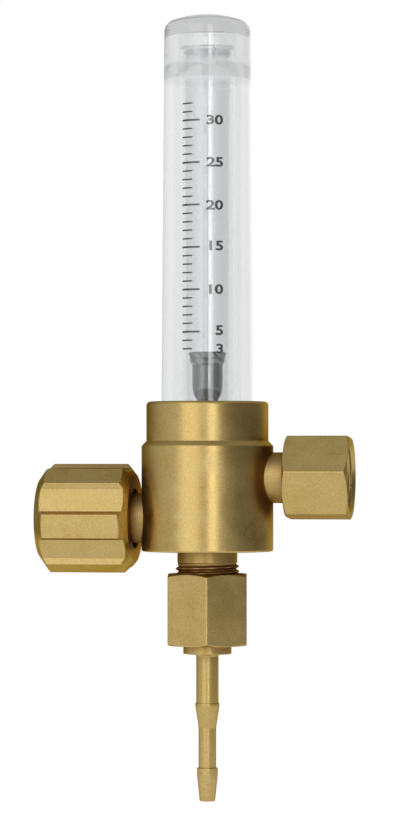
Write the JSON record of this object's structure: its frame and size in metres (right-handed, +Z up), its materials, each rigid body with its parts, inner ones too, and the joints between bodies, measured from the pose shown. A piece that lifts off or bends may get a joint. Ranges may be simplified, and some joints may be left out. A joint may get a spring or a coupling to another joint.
{
  "type": "oxygen flowmeter",
  "caption": "Brass gas flowmeter with a clear metering tube and rising float, a needle valve with a fluted knob, a union nut inlet and a barbed hose tail.",
  "frame": {"origin": "centre of the inlet union nut's thread", "axes": "+X out of the inlet nut towards the gas supply, +Z up along the metering tube, the scale facing -Y"},
  "size_m": [0.0878, 0.0368, 0.2201],
  "materials": {
    "turned_brass": "turned and satin",
    "nut_brass": "drawn hexagon bar, satin",
    "knob_brass": "milled and tumbled, satin",
    "sintered_bronze": "sintered, porous",
    "clear_cover": "clear moulded polycarbonate",
    "clear_tube": "clear tube, polished bore",
    "float_metal": "dark satin, turned",
    "steel": "turned steel",
    "black_rubber": "matt rubber",
    "white_fibre": "white sealing plastic",
    "pale_plastic": "translucent moulded plastic"
  },
  "bodies": {
    "meter": {"body": "turned_brass", "cover_tube": "clear_cover", "cover_o_ring": "black_rubber", "metering_tube": "clear_tube", "tube_gasket": "black_rubber", "float_rest": "turned_brass", "float_stop": "pale_plastic", "inlet_nipple": "turned_brass", "nipple_washer": "white_fibre", "inlet_filter": "sintered_bronze", "inlet_seal": "black_rubber", "valve_seat": "white_fibre", "bonnet": "turned_brass", "bonnet_washer": "white_fibre"},
    "float": {"float": "float_metal"},
    "spindle_ring": {"spindle_o_ring": "black_rubber"},
    "knob": {"knob": "knob_brass", "spindle": "steel", "knob_screw": "steel", "knob_screw_washer": "steel"},
    "inlet_nut": {"inlet_nut": "nut_brass"},
    "hose_tail": {"hose_tail": "turned_brass", "tail_seal": "black_rubber"},
    "outlet_nut": {"outlet_nut": "nut_brass"}
  },
  "joints": [
    {"name": "float_rise", "type": "slide", "parent": "meter", "child": "float", "axis": [0, 0, 1], "range_m": [0, 0.08]},
    {"name": "spindle_rise", "type": "slide", "parent": "meter", "child": "spindle_ring", "axis": [-1, 0, 0], "range_m": [0, 0.00251]},
    {"name": "knob_turn", "type": "hinge", "parent": "spindle_ring", "child": "knob", "pos_m": [-0.0648, 0, -0.0114], "axis": [-1, 0, 0], "range_deg": [0, 900]},
    {"name": "inlet_nut_turn", "type": "hinge", "parent": "meter", "child": "inlet_nut", "pos_m": [-0.0121, 0, 0], "axis": [1, 0, 0], "continuous": true},
    {"name": "tail_drop", "type": "slide", "parent": "meter", "child": "hose_tail", "axis": [0, 0, -1], "range_m": [0, 0.00751]},
    {"name": "outlet_nut_turn", "type": "hinge", "parent": "hose_tail", "child": "outlet_nut", "pos_m": [-0.0348, 0, -0.0446], "axis": [0, 0, -1], "range_deg": [0, 1800]}
  ],
  "couplings": [
    {"joint": "spindle_rise", "follows": "knob_turn", "m_per_rad": 0.00015915},
    {"joint": "tail_drop", "follows": "outlet_nut_turn", "m_per_rad": 0.00023873}
  ]
}
